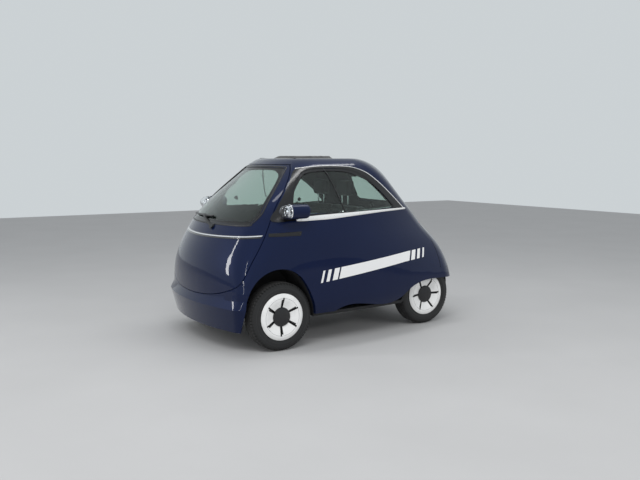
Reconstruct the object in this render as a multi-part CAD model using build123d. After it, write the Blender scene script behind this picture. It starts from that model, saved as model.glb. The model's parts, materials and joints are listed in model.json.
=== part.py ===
from build123d import *
import math
import os

# Two-seat microcar with one front door, a rear hatch and four wheels.
# Millimetres. +Z up, the nose points to -Y, the car's left is +X.
# Origin on the floor, at the middle of the length.

# ---------------------------------------------------------------- sizes
GAP = 5.0                      # gap round every panel that moves
WALL = 36.0                    # thickness of doors, sides and roof
DROP = 24.0                    # how far the inner faces sit lower at the roof
GLASS_OUT, GLASS_IN = 4.0, 10.0

WHEEL_R = 266.5
WHEEL_Z = 266.5
FRONT_Y, REAR_Y = -780.0, 786.0
FRONT_X, REAR_X = 628.0, 452.0     # mid-planes of the tyres
KINGPIN_X = 598.0

COLS = ("z", "y_front", "r_front", "r_front_corner", "half", "y_wide",
        "r_side", "r_rear_corner", "y_rear", "r_rear")
BODY = [dict(zip(COLS, row)) for row in (
    (165, -1196, 2050, 180, 665, -450, 5600, 240, 1195, 865),
    (260, -1226, 2050, 160, 705, -450, 6000, 240, 1243, 865),
    (365, -1238, 2000, 130, 731, -450, 6200, 245, 1261, 860),
    (470, -1240, 1900, 135, 736.5, -450, 6000, 245, 1238, 845),
    (620, -1234, 1700, 225, 736, -450, 5000, 260, 1176, 810),
    (740, -1206, 1500, 300, 730, -440, 4100, 275, 1084, 800),
    (880, -1139, 1350, 320, 713, -428, 3200, 280, 930, 800),
    (1000, -1064, 1280, 320, 687, -404, 2900, 275, 824, 760),
    (1120, -953, 1220, 300, 655, -360, 2700, 265, 718, 720),
    (1240, -812, 1120, 260, 610, -300, 2500, 250, 617, 680),
    (1350, -681, 1010, 225, 556, -200, 2300, 230, 522, 620),
    (1430, -582, 920, 200, 485, -110, 2100, 205, 412, 560),
    (1474, -490, 850, 180, 392, -80, 1800, 165, 250, 500),
    (1496, -350, 700, 120, 240, -110, 1300, 110, 20, 420),
)]

# the bumper has straight faces and stands proud of the door; same columns, three rows of its own
BUMPER = [dict(zip(COLS, row)) for row in (
    (165, -1216, 2050, 118, 692, -450, 5600, 240, 1195, 865),
    (348, -1268, 2000, 108, 731, -450, 6200, 245, 1261, 860),
    (408, -1242, 1900, 134, 735, -450, 6100, 245, 1250, 852),
)] + BODY[3:6]

# seams and openings, (y, z) seen from the side
DOOR_SEAM = [(-520, 1422), (-600, 1316), (-670, 1232), (-763, 1124),
             (-848, 992), (-915, 870), (-975, 772), (-1043, 664),
             (-1112, 544), (-1160, 486), (-1210, 436), (-1262, 404), (-1320, 392)]
DOOR_TOP = 1422.0
HATCH_SEAM = [(404, 1372), (436, 1336), (503, 1250), (576, 1150), (650, 1050),
              (724, 950), (795, 850), (850, 750), (888, 650), (918, 500)]
HATCH_LOW = 500.0
BELT = [(-1000, 1010), (900, 1050)]
FRONT_ARCH = [(-1100, 100), (-1100, 200), (-1094, 300), (-1070, 440),
              (-1010, 550), (-905, 622), (-780, 640), (-655, 590),
              (-560, 465), (-494, 300), (-480, 200), (-480, 100)]
SKIRT = [(-300, 262), (200, 262), (330, 270), (420, 308), (509, 366),
         (600, 402), (700, 418), (860, 418), (1000, 410), (1300, 408)]
WINDOW_ARC = [(-758, 1050), (-700, 1122), (-625, 1216), (-550, 1306), (-505, 1352), (-450, 1379),
              (-308, 1393), (-150, 1391), (-40, 1377), (60, 1339),
              (180, 1252), (300, 1148), (392, 1064)]
WINDOW_SILL = [(55, 1054), (-263, 1047)]
SCREEN = [(-520, 968), (0, 966), (520, 968), (556, 1032), (496, 1180), (430, 1290),
          (352, 1399), (0, 1403), (-352, 1399), (-430, 1290), (-496, 1180), (-556, 1032)]
REAR_SCREEN = [(-322, 1078), (0, 1070), (322, 1078), (340, 1112), (255, 1340),
               (0, 1346), (-255, 1340), (-340, 1112)]


# ---------------------------------------------------------------- helpers
def fillet_centre(ca, ra, cb, rb, r, pick):
    """Centre of an arc of radius r that touches two larger arcs from inside."""
    dx, dy = cb[0] - ca[0], cb[1] - ca[1]
    d = math.hypot(dx, dy)
    a, b = ra - r, rb - r
    x = (a * a - b * b + d * d) / (2 * d)
    h = math.sqrt(max(a * a - x * x, 0.0))
    ex, ey = dx / d, dy / d
    found = [(ca[0] + x * ex + s * h * -ey, ca[1] + x * ey + s * h * ex) for s in (1, -1)]
    return max(found, key=pick)


def on_circle(c, r, angle):
    return (c[0] + r * math.cos(angle), c[1] + r * math.sin(angle))


def outline(row, inset=0.0, drop=0.0):
    """Eight tangent arcs round the body at one height."""
    z = row["z"] - drop
    rf, rs, rr = row["r_front"], row["r_side"], row["r_rear"]
    cf, cs, cr = (0.0, row["y_front"] + rf), (row["half"] - rs, row["y_wide"]), (0.0, row["y_rear"] - rr)
    r1, r2 = row["r_front_corner"], row["r_rear_corner"]
    c1 = fillet_centre(cf, rf, cs, rs, r1, lambda c: c[0] - c[1])
    c2 = fillet_centre(cr, rr, cs, rs, r2, lambda c: c[0] + c[1])
    t_f = math.atan2(c1[1] - cf[1], c1[0] - cf[0])
    t_s1 = math.atan2(c1[1] - cs[1], c1[0] - cs[0])
    t_s2 = math.atan2(c2[1] - cs[1], c2[0] - cs[0])
    t_r = math.atan2(c2[1] - cr[1], c2[0] - cr[0])
    half = [
        (c1, r1 - inset, t_f, t_s1),
        (cs, rs - inset, t_s1, t_s2),
        (c2, r2 - inset, t_s2, t_r),
    ]
    arcs = []
    p_start = on_circle(cf, rf - inset, t_f)
    for c, r, a, b in half:
        arcs.append((on_circle(c, r, a), on_circle(c, r, (a + b) / 2), on_circle(c, r, b)))
    top = on_circle(cr, rr - inset, t_r)
    arcs.append((top, (0.0, row["y_rear"] - inset), (-top[0], top[1])))
    for c, r, a, b in reversed(half):
        arcs.append(tuple((-p[0], p[1]) for p in (on_circle(c, r, b), on_circle(c, r, (a + b) / 2), on_circle(c, r, a))))
    arcs.append(((-p_start[0], p_start[1]), (0.0, row["y_front"] + inset), p_start))
    return Wire([Edge.make_three_point_arc(*(Vector(x, y, z) for x, y in arc)) for arc in arcs])


def body_loft(rows, inset=0.0, drop=0.0, straight=False):
    return Solid.make_loft([outline(row, inset, drop) for row in rows], straight)


def prism(points, axis, start, end, radius=0.0):
    """A flat closed outline pushed along X (points are y, z) or Y (x, z)."""
    if axis == "X":
        pts, way = [Vector(start, a, b) for a, b in points], Vector(end - start, 0, 0)
    elif axis == "Y":
        pts, way = [Vector(a, start, b) for a, b in points], Vector(0, end - start, 0)
    else:
        pts, way = [Vector(a, b, start) for a, b in points], Vector(0, 0, end - start)
    face = Face(Wire.make_polygon(pts, close=True))
    if radius:
        face = face.fillet_2d(radius, face.vertices())
    return Solid.extrude(face, way)


def zone(curve, corners, start=-1000.0, end=1000.0):
    """Region seen from the side: one smooth curve closed by straight corners."""
    pts = [Vector(start, a, b) for a, b in curve]
    back = [Vector(start, a, b) for a, b in corners]
    edges = [Edge.make_spline(pts)]
    chain = [pts[-1]] + back + [pts[0]]
    edges += [Edge.make_line(p, q) for p, q in zip(chain, chain[1:])]
    return Solid.extrude(Face(Wire(edges)), Vector(end - start, 0, 0))


def shifted(curve, distance):
    """The curve moved sideways by a distance, to the left of its direction."""
    out = []
    for i, (a, b) in enumerate(curve):
        p, q = curve[max(i - 1, 0)], curve[min(i + 1, len(curve) - 1)]
        dx, dy = q[0] - p[0], q[1] - p[1]
        n = math.hypot(dx, dy)
        out.append((a - dy / n * distance, b + dx / n * distance))
    return out


def box(x0, x1, y0, y1, z0, z1):
    return Pos((x0 + x1) / 2, (y0 + y1) / 2, (z0 + z1) / 2) * Box(abs(x1 - x0), abs(y1 - y0), abs(z1 - z0))


def tube(p, q, r):
    p, q = Vector(*p), Vector(*q)
    return Solid.make_cylinder(r, (q - p).length, Plane(origin=p, z_dir=q - p))


def turned(profile, x, y, z, side=1):
    """Profile of (radius, outward offset) turned about the wheel's axis."""
    face = Face(Wire.make_polygon([Vector(r, 0, t) for r, t in profile], close=True))
    solid = Solid.revolve(face, 360.0, Axis.Z)
    return Pos(x, y, z) * Rot(0, 90 * side, 0) * solid


def solids_of(shape):
    return list(shape.solids())


def mirrored(shape):
    return mirror(shape, about=Plane.YZ)


def merged(*shapes):
    out = shapes[0]
    for s in shapes[1:]:
        out = out + s
    return out


PARTS = {}


def put(name, *shapes):
    items = []
    for s in shapes:
        items += solids_of(s)
    PARTS[name] = items[0] if len(items) == 1 else Compound(children=items)


# ---------------------------------------------------------------- body skins
outer = body_loft(BODY)
inner_rows = [dict(BODY[0], z=60), BODY[0]] + BODY[1:12:2] + [BODY[12], dict(BODY[-1], z=BODY[-1]["z"] - 4)]
inner = body_loft(inner_rows, WALL, DROP)
glass = body_loft(BODY, GLASS_OUT, GLASS_OUT * 0.7) - body_loft(BODY, GLASS_IN, GLASS_IN * 0.8)
shell = outer - inner

door_zone = zone(DOOR_SEAM, [(-1500, 392), (-1500, DOOR_TOP)])
door_cut = zone(shifted([(-508, 1434)] + DOOR_SEAM[1:], GAP), [(-1500, 387), (-1500, DOOR_TOP + GAP), (-508, DOOR_TOP + GAP)])
HATCH_FRONT = HATCH_SEAM[0][0]
hatch_zone = zone(HATCH_SEAM, [(1500, HATCH_LOW), (1500, 1600), (HATCH_FRONT, 1600)])
wide_seam = [(HATCH_FRONT - GAP, HATCH_SEAM[0][1] - 2)] + shifted(HATCH_SEAM, -GAP)[1:]
hatch_cut = zone(wide_seam, [(1500, HATCH_LOW - GAP), (1500, 1600), (HATCH_FRONT - GAP, 1600)])
below = zone(SKIRT, [(1300, 50), (-1300, 50), (-1300, 162), (-1100, 162), (-480, 262)])
arch_cut = zone(FRONT_ARCH, [])
above_belt = prism([BELT[0], BELT[1], (900, 1600), (-1000, 1600)], "X", -1000, 1000)

# wheel houses are open to the sides of the body
REAR_HOUSE = [(REAR_Y + 312 * math.cos(t), WHEEL_Z + 312 * math.sin(t))
              for t in (math.radians(a) for a in range(0, 181, 15))]
REAR_HOUSE = [(REAR_Y + 312, 100)] + REAR_HOUSE + [(REAR_Y - 312, 100)]
rear_round = prism(REAR_HOUSE, "X", -1000, 1000)
rear_void = (rear_round & box(-534, 534, 0, 1400, 90, 800)) & body_loft(BODY[:6], 14)
side_window = zone(WINDOW_ARC, WINDOW_SILL)
screen = prism(SCREEN, "Y", -1400, -300, radius=26)
rear_screen = prism(REAR_SCREEN, "Y", 200, 1200, radius=14)
roof_hole = prism([(-285, -430), (285, -430), (300, -200), (285, 60), (0, 80), (-285, 60)], "Z", 1380, 1600)

body = shell - below
door = body & door_zone
hatch = body & hatch_zone
fixed = body - door_cut - hatch_cut

# front apron, below and ahead of the door
apron_zone = prism([(-1400, 60), (-1400, 520), (-1120, 552), (-1040, 500), (-1020, 440), (-1000, 60)], "X", -1000, 1000)
rear_apron_zone = prism([(925, 300), (1400, 300), (1400, 520), (925, 520)], "X", -1000, 1000)
bumper = (body_loft(BUMPER, straight=True) - inner) - below
apron = ((bumper & apron_zone) - door_cut) - arch_cut
rest = fixed - apron_zone
rear_apron = (rest & rear_apron_zone) - rear_void
rest = rest - rear_apron_zone
roof = (rest & above_belt) - side_window - roof_hole
sides = (rest - above_belt) - arch_cut - rear_void

half_left = box(0.5, 1000, -1500, 1500, 0, 1600)
put("side_panel_left", sides & half_left)
put("side_panel_right", mirrored(sides & half_left))
put("roof_panel", roof)
put("front_apron", apron)
put("rear_apron", rear_apron)

# ---------------------------------------------------------------- door and hatch
bar_slab = prism([(-1400, 832), (-600, 910), (-600, 932), (-1400, 854)], "X", -1000, 1000)
bar_ring = body_loft(BODY, -3, 0) - body_loft(BODY, 10, 0)
light_bar = (bar_ring & bar_slab & zone(shifted(DOOR_SEAM, -9), [(-1500, 392), (-1500, DOOR_TOP)])) & box(-640, 640, -1500, 0, 0, 1600)
door_panel = door - screen - light_bar
# the door swings on an upright pin at its lower left corner
PIN_X, PIN_Y = 648.0, -1100.0
PARTS["front_apron"] = PARTS["front_apron"] - tube((PIN_X, PIN_Y, 470), (PIN_X, PIN_Y, 560), 6.05)
PARTS["side_panel_left"] = PARTS["side_panel_left"] - tube((PIN_X, PIN_Y, 470), (PIN_X, PIN_Y, 600), 6 + GAP)
put("door_panel", door_panel + (tube((PIN_X, PIN_Y, 474), (PIN_X, PIN_Y, 570), 6) & outer))
put("front_light_bar", light_bar)
put("windscreen", (glass & screen) & door_zone)
put("hatch_panel", (hatch - rear_screen) )
put("rear_glass", (glass & rear_screen) & hatch_zone)

window_cut = prism([(-334, 1500), (-330, 1500), (-129, 900), (-133, 900)], "X", -1000, 1000)
side_glass = ((glass & side_window) & half_left) - window_cut
put("side_glass_left", side_glass)
put("side_glass_right", mirrored(side_glass))

# bars and wiper follow the skins
rear_slab = box(-392, 392, 500, 1400, 894, 914)
rear_bar = (bar_ring & rear_slab) & hatch_zone
# a three-part hinge in the middle of the hatch's top edge
HINGE_Y, HINGE_Z = HATCH_FRONT, 1437.0
knuckle_tube = tube((-40, HINGE_Y, HINGE_Z), (40, HINGE_Y, HINGE_Z), 9)
hatch_leaf = (knuckle_tube + box(-40, 40, HINGE_Y + 3, HINGE_Y + 44, HINGE_Z - 20, HINGE_Z - 5)) - tube((-60, HINGE_Y, HINGE_Z), (60, HINGE_Y, HINGE_Z), 4.05)
roof_notch = tube((-45, HINGE_Y, HINGE_Z), (45, HINGE_Y, HINGE_Z), 14)
put("hatch_panel", ((hatch - rear_screen) - rear_bar - tube((-75, HINGE_Y, HINGE_Z), (75, HINGE_Y, HINGE_Z), 14)) + hatch_leaf)
ends = tube((-70, HINGE_Y, HINGE_Z), (-45, HINGE_Y, HINGE_Z), 9) + tube((45, HINGE_Y, HINGE_Z), (70, HINGE_Y, HINGE_Z), 9)
ends = ends + box(-70, -45, HINGE_Y - 40, HINGE_Y - 3, HINGE_Z - 16, HINGE_Z - 3)
ends = ends + box(45, 70, HINGE_Y - 40, HINGE_Y - 3, HINGE_Z - 16, HINGE_Z - 3)
put("roof_panel", (roof - roof_notch) + ends + tube((-68, HINGE_Y, HINGE_Z), (68, HINGE_Y, HINGE_Z), 4))
put("rear_light_bar", rear_bar)
wiper_skin = body_loft(BODY, -14, -6) - body_loft(BODY, -4, -2)
boss_skin = body_loft(BODY, -14, -6) - outer
blade = wiper_skin & prism([(-430, 1004), (70, 1012), (70, 1022), (-430, 1014)], "Y", -1400, -600)
arm = wiper_skin & prism([(132, 938), (142, 946), (-120, 1024), (-126, 1012)], "Y", -1400, -600)
boss = boss_skin & Solid.extrude(Face(Wire.make_circle(20, Plane(origin=(137, -1400, 942), z_dir=(0, 1, 0)))), Vector(0, 800, 0))
put("wiper", merged(boss, arm, blade))
door_bar = merged(tube((-330, -1000, 935), (330, -1000, 935), 14),
                  tube((-300, -1000, 935), (-300, -1060, 935), 12),
                  tube((300, -1000, 935), (300, -1060, 935), 12)) & inner
put("door_bar", door_bar)

# ---------------------------------------------------------------- roof cover
soft_top = (body_loft(BODY, -2, -5) - inner) & roof_hole
put("soft_top", soft_top)

# ---------------------------------------------------------------- floor and wheel houses
front_liner_out = zone([(y + dy, z + dz) for (y, z), (dy, dz) in zip(FRONT_ARCH, (
    (-12, 0), (-12, 0), (-12, 0), (-12, 5), (-8, 10), (-4, 12), (0, 12), (6, 11), (11, 6), (12, 2), (12, 0), (12, 0)))], [], -1000, 1000)
front_ring = ((front_liner_out - arch_cut) & box(396, 720, -1300, -300, 236, 800)) & inner
front_wall = (front_liner_out & box(384, 396, -1300, -300, 236, 800)) - box(380, 400, -840, -720, 120, 410)
front_house = front_ring + front_wall
put("front_wheelhouses", front_house, mirrored(front_house))

REAR_HOUSE_OUT = [(REAR_Y + 324, 100)] + [(REAR_Y + 324 * math.cos(math.radians(a)), WHEEL_Z + 324 * math.sin(math.radians(a))) for a in range(0, 181, 15)] + [(REAR_Y - 324, 100)]
rear_liner_out = prism(REAR_HOUSE_OUT, "X", 357, 700)
rear_ring = ((rear_liner_out - rear_round) & box(372, 700, 0, 1300, 262, 800)) & inner
rear_wall = (rear_liner_out & box(357, 372, 0, 1300, 262, 800)) - box(350, 380, 700, 872, 180, 352)
rear_house = rear_ring + rear_wall
put("rear_wheelhouses", rear_house, mirrored(rear_house))

floor = prism([(-1240, 236), (455, 236), (505, 396), (1240, 396), (1240, 414), (492, 414), (442, 262), (-1240, 262)], "X", -800, 800) & inner
floor = floor - box(384, 800, -1112, -468, 0, 1000) - box(-800, -384, -1112, -468, 0, 1000)
floor = floor - box(357, 800, REAR_Y - 324, REAR_Y + 324, 0, 1000) - box(-800, -357, REAR_Y - 324, REAR_Y + 324, 0, 1000)
put("floor_pan", floor)

# ---------------------------------------------------------------- seats and controls
base = box(-480, 480, -340, 120, 262, 470) - box(-462, 462, -322, 102, 200, 452)
put("bench_base", base)
put("battery_block", box(-430, 430, -300, 80, 262, 420))
put("seat_cushion", fillet(box(-500, 500, -400, 40, 470, 590).edges(), 30))
back = prism([(45, 560), (125, 500), (185, 1070), (95, 1090)], "X", -500, 500)
back = fillet(back.edges(), 24)
foot_plate = box(-440, 440, 40, 70, 480, 600) + box(-440, 440, 60, 102, 470, 520)
put("seat_back", back + foot_plate)
head = [fillet(box(x - 110, x + 110, 92, 172, 1145, 1295).edges(), 28) for x in (-195, 195)]
posts = [tube((x + d, 132, 1060), (x + d, 132, 1180), 6) for x in (-195, 195) for d in (-45, 45)]
seat_back = PARTS["seat_back"]
put("headrests", *[merged(h, *(p - seat_back for p in posts[2 * i:2 * i + 2])) for i, h in enumerate(head)])

column = tube((270, -900, 262), (270, -466, 827), 22)
put("steering_column", column & box(0, 600, -1200, 0, 262, 1200))
wheel_plane = Plane(origin=(270, -470, 822), z_dir=(0, 422, 550))
steering_wheel = Solid.make_torus(176, 14)
hub = Solid.make_cylinder(36, 30, Plane(origin=(0, 0, -8)))
for a in (90, 210, 330):
    hub = hub + Rot(0, 0, a) * box(0, 172, -13, 13, -5, 7)
steering_wheel = wheel_plane.location * (steering_wheel + hub)
put("steering_wheel", steering_wheel - PARTS["steering_column"])
pedals = []
for x in (190, 320):
    pedals.append(merged(box(x - 8, x + 8, -1000, -984, 262, 420), box(x - 32, x + 32, -984, -974, 370, 440)))
put("pedals", *pedals)

motor = fillet(Solid.make_cylinder(105, 380, Plane(origin=(-190, 786, 285), z_dir=(1, 0, 0))).edges(), 10)
put("motor_block", merged(motor, box(-150, 150, 720, 850, 285, 396)))
shelf = prism([(230, 600), (760, 600), (760, 614), (230, 614)], "X", -800, 800) & inner
shelf = (shelf & (Pos(0, 0, -5) * inner)) - box(357, 800, 462, 1110, 0, 590)
put("parcel_shelf", shelf)

# ---------------------------------------------------------------- running gear
lower_z, upper_z = WHEEL_Z - 98, WHEEL_Z + 98
side_gear = merged(
    tube((300, FRONT_Y - 90, 215), (KINGPIN_X, FRONT_Y, lower_z), 11),
    tube((300, FRONT_Y + 90, 215), (KINGPIN_X, FRONT_Y, lower_z), 11),
    tube((340, FRONT_Y, 372), (KINGPIN_X, FRONT_Y, upper_z), 11),
    tube((KINGPIN_X, FRONT_Y, lower_z - 12), (KINGPIN_X, FRONT_Y, upper_z + 12), 9),
    tube((KINGPIN_X, FRONT_Y, lower_z - 14), (KINGPIN_X, FRONT_Y, lower_z + 14), 17),
    tube((KINGPIN_X, FRONT_Y, upper_z - 14), (KINGPIN_X, FRONT_Y, upper_z + 14), 17))
cross = merged(box(-310, 310, FRONT_Y - 110, FRONT_Y - 70, 196, 236), box(-310, 310, FRONT_Y + 70, FRONT_Y + 110, 196, 236),
               box(270, 310, FRONT_Y - 110, FRONT_Y + 110, 196, 236), box(-310, -270, FRONT_Y - 110, FRONT_Y + 110, 196, 236),
               box(320, 360, FRONT_Y - 30, FRONT_Y + 30, 262, 390), box(-360, -320, FRONT_Y - 30, FRONT_Y + 30, 262, 390))
put("front_subframe", merged(cross, side_gear, mirrored(side_gear)) - floor)

knuckle = merged(
    tube((KINGPIN_X, FRONT_Y, WHEEL_Z - 76), (KINGPIN_X, FRONT_Y, WHEEL_Z + 76), 20),
    tube((KINGPIN_X, FRONT_Y, WHEEL_Z), (FRONT_X + 44, FRONT_Y, WHEEL_Z), 15),
    tube((KINGPIN_X, FRONT_Y, WHEEL_Z), (FRONT_X - 14, FRONT_Y, WHEEL_Z), 34),
    tube((KINGPIN_X, FRONT_Y, WHEEL_Z - 30), (540, FRONT_Y + 120, WHEEL_Z - 30), 9)) \
    - tube((KINGPIN_X, FRONT_Y, 0), (KINGPIN_X, FRONT_Y, 600), 9.05)
put("knuckle_left", knuckle)
put("knuckle_right", mirrored(knuckle))

rear_side = merged(
    box(318, 344, 520, 846, 235, 300),
    box(318, 344, 520, 566, 235, 396),
    tube((344, REAR_Y, WHEEL_Z), (REAR_X + 44, REAR_Y, WHEEL_Z), 15),
    tube((320, REAR_Y, WHEEL_Z), (REAR_X - 74, REAR_Y, WHEEL_Z), 40),
    box(318, 344, 620, 660, 235, 396))
rear_axle = merged(rear_side, mirrored(rear_side), tube((-330, 640, 268), (330, 640, 268), 24))
put("rear_axle", rear_axle - floor)

TYRE = [(166.3, -53), (177, -56.5), (187, -64), (215, -72.5), (250, -66), (266.5, -42), (266.5, 42), (250, 66),
        (215, 72.5), (187, 64), (177, 56.5), (166.3, 53), (166.3, 44), (215, 60), (253, 38), (253, -38), (215, -60), (166.3, -44)]
RIM = [(158, -63.5), (176, -63.5), (176, -57.5), (166, -57.5), (166, 57.5), (176, 57.5), (176, 63.5), (158, 63.5),
       (158, 34), (60, 34), (44, 46), (15.06, 46), (15.06, -4), (44, -4), (44, 22), (88, 24), (88, -2), (102, -2), (102, 25), (158, 25)]
COVER = [(182, 63.5), (182, 66.5), (171, 72), (159, 75.5), (148, 76), (128, 72), (104, 64), (84, 57), (74, 55),
         (73, 60), (60, 64), (40, 67), (0, 69), (0, 52), (84, 52), (104, 60), (128, 68), (148, 72), (158, 71.5), (168, 68), (176, 63.5)]
for place, x, y, slot_angle in (("front", FRONT_X, FRONT_Y, 85), ("rear", REAR_X, REAR_Y, 63)):
    tyre = turned(TYRE, x, y, WHEEL_Z)
    rim = turned(RIM, x, y, WHEEL_Z)
    cover = turned(COVER, x, y, WHEEL_Z)
    for k in range(6):
        slot = Pos(x, y, WHEEL_Z) * Rot(slot_angle + 60 * k, 0, 0) * box(40, 90, 66, 150, -7, 7)
        cover = cover - slot
    for side in ("left", "right"):
        for label, solid in (("tyre", tyre), ("rim", rim), ("wheel_cover", cover)):
            put(f"{label}_{place}_{side}", solid if side == "left" else mirrored(solid))

# ---------------------------------------------------------------- lamp and mirror pods
def pod_turn(profile):
    face = Face(Wire.make_polygon([Vector(r, 0, -y) for r, y in profile], close=True))
    return Pos(742, 0, 1075) * Rot(90, 0, 0) * Solid.revolve(face, 360.0, Axis.Z)


housing = pod_turn([(0, -582), (44, -582), (44, -578), (50, -582), (55, -594), (56, -640), (55, -742), (50, -742), (50, -690), (0, -690)])
foot = prism([(600, 1022), (712, 1030), (712, 1056), (600, 1056)], "Y", -735, -655) - outer
pod = merged(housing, foot - pod_turn([(0, -600), (50, -600), (50, -740), (0, -740)]))
put("lamp_pod_left", pod)
put("lamp_pod_right", mirrored(pod))
lens = pod_turn([(50, -738), (54, -742), (53, -765), (47, -790), (35, -808), (18, -818), (0, -821), (0, -817),
                 (16, -814), (33, -804), (44, -788), (50, -764), (50, -742)][1:])
put("headlamp_lenses", lens, mirrored(lens))
mirror_disc = pod_turn([(0, -582), (43, -582), (43, -579), (0, -579)])
put("mirror_glasses", mirror_disc, mirrored(mirror_disc))


def main():
    os.makedirs("parts", exist_ok=True)
    for name, shape in PARTS.items():
        export_step(shape, os.path.join("parts", name + ".step"))
    print(len(PARTS), "parts")


if __name__ == "__main__":
    main()
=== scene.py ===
"""Looks of a small bubble-shaped car: paint, glass, tyres, trim, stripes, seats and light.

Metres, in the packed model's frame: +Z up, the nose points to -Y, the car's left is +X.
Each group of like pieces is one operator, and main() calls them in order.
"""
import json
import math
from functools import partial

import bmesh
import bpy
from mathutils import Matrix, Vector
from mathutils.bvhtree import BVHTree


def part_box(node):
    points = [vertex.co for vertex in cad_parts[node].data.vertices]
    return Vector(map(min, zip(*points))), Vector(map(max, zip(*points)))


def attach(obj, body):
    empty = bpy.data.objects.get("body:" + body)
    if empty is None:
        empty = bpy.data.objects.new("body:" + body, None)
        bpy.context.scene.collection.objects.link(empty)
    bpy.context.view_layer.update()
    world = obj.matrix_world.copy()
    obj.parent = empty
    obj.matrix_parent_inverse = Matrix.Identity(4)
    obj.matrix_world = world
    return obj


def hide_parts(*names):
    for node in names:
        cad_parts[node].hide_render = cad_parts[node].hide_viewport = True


bl_info = {
    "name": "Microcar looks",
    "version": (1, 0, 0),
    "blender": (4, 5, 0),
    "location": "View3D > Sidebar > Microcar",
    "description": "Dresses the packed microcar with paint, glass, tyres, trim and seats",
    "category": "Object",
}

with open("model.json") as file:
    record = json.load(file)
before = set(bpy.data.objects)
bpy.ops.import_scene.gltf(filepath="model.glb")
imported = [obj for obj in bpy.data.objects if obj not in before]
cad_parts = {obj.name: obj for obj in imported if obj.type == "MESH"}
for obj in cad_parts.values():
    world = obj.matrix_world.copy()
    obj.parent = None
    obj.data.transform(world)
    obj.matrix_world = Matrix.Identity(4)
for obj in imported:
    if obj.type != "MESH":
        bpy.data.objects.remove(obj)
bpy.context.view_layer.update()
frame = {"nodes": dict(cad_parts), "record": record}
MATERIALS = {}
SIDES = (("left", 1), ("right", -1))
WHEELS = [(end, side, sign) for end in ("front", "rear") for side, sign in SIDES]
PROUD = 0.0008          # how far flat trim stands off the skin

# ---------------------------------------------------------------- places on the body, (y, z)
CHROME_ARC = [(-0.513, 1.394), (-0.400, 1.407), (-0.242, 1.414), (-0.053, 1.406), (0.045, 1.386),
              (0.131, 1.350), (0.215, 1.294), (0.290, 1.238), (0.400, 1.147), (0.493, 1.070), (0.520, 1.048)]
BELT_TOP = [(-0.640, 1.006), (-0.560, 1.026), (-0.502, 1.032), (-0.320, 1.040), (-0.044, 1.047), (0.207, 1.051),
            (0.391, 1.053), (0.540, 1.053)]
BELT_LOW = [(-0.640, 0.996), (-0.560, 0.995), (-0.478, 0.997), (-0.327, 1.001), (-0.049, 1.018), (0.203, 1.030),
            (0.387, 1.035), (0.540, 1.038)]
FRAME_OUTER = [(-0.835, 1.000), (-0.776, 1.094), (-0.701, 1.182), (-0.602, 1.300), (-0.520, 1.388)]
FRAME_OUTER += CHROME_ARC[1:-1]
FRAME_OUTER += [(0.500, 1.052), (0.300, 1.050), (-0.159, 1.043), (-0.501, 1.028), (-0.640, 1.002)]
GLASS_EDGE = [(-0.656, 1.060), (-0.645, 1.120), (-0.612, 1.205), (-0.584, 1.246), (-0.537, 1.298),
              (-0.487, 1.345), (-0.440, 1.362), (-0.379, 1.370), (-0.289, 1.374), (-0.180, 1.372),
              (-0.074, 1.360), (0.000, 1.334), (0.091, 1.298), (0.186, 1.244), (0.286, 1.163),
              (0.340, 1.105), (0.369, 1.068), (0.350, 1.059), (0.200, 1.057), (-0.044, 1.054),
              (-0.320, 1.048), (-0.500, 1.043), (-0.620, 1.040)]
PANE_LINE = [(-0.296, 1.392), (-0.270, 1.312), (-0.236, 1.212), (-0.204, 1.118), (-0.182, 1.054)]
STRIPES = ((-0.456, 0.019), (-0.406, 0.030), (-0.347, 0.049), (-0.283, 0.778), (0.516, 0.050), (0.593, 0.037),
           (0.666, 0.022))
LAMP_STRIP = [(-0.874, 0.9105), (-0.607, 0.9185), (-0.619, 0.886), (-0.877, 0.886)]

# ---------------------------------------------------------------- outlines from the front or back, (x, z)
SCREEN_EDGE = [(-0.524, 0.962), (0.0, 0.958), (0.524, 0.962), (0.566, 1.032), (0.505, 1.180), (0.438, 1.292),
               (0.358, 1.407), (0.0, 1.411), (-0.358, 1.407), (-0.438, 1.292), (-0.505, 1.180), (-0.566, 1.032)]
REAR_EDGE = [(-0.328, 1.072), (0.0, 1.062), (0.328, 1.072), (0.350, 1.112), (0.262, 1.346),
             (0.0, 1.353), (-0.262, 1.346), (-0.350, 1.112)]
ROOF_EDGE = [(-0.290, -0.436), (0.290, -0.436), (0.305, -0.200), (0.290, 0.064), (0.0, 0.086), (-0.290, 0.064),
             (-0.305, -0.200)]


def number(name, text, value, **more):
    return bpy.props.FloatProperty(name=name, description=text, default=value, **more)


def length(name, text, value):
    return number(name, text, value, subtype="DISTANCE", unit="LENGTH", min=0.0)


def colour(name, text, value):
    return bpy.props.FloatVectorProperty(name=name, description=text, default=value, size=3,
                                         subtype="COLOR", min=0.0)


class MICROCAR_PG_paint(bpy.types.PropertyGroup):
    """Colours of the outside."""

    dark: colour("Paint, dark", "Darkest tone of the body paint", (0.0015, 0.0050, 0.027))
    light: colour("Paint, light", "Lightest tone of the flakes in the paint", (0.0042, 0.0125, 0.056))
    stripe: colour("Stripes", "Colour of the bands on the sides", (0.80, 0.80, 0.80))
    cover: colour("Wheel covers", "Colour of the wheel covers", (0.86, 0.86, 0.85))
    glass: colour("Glass", "Tint of the windows", (0.64, 0.75, 0.70))


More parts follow.
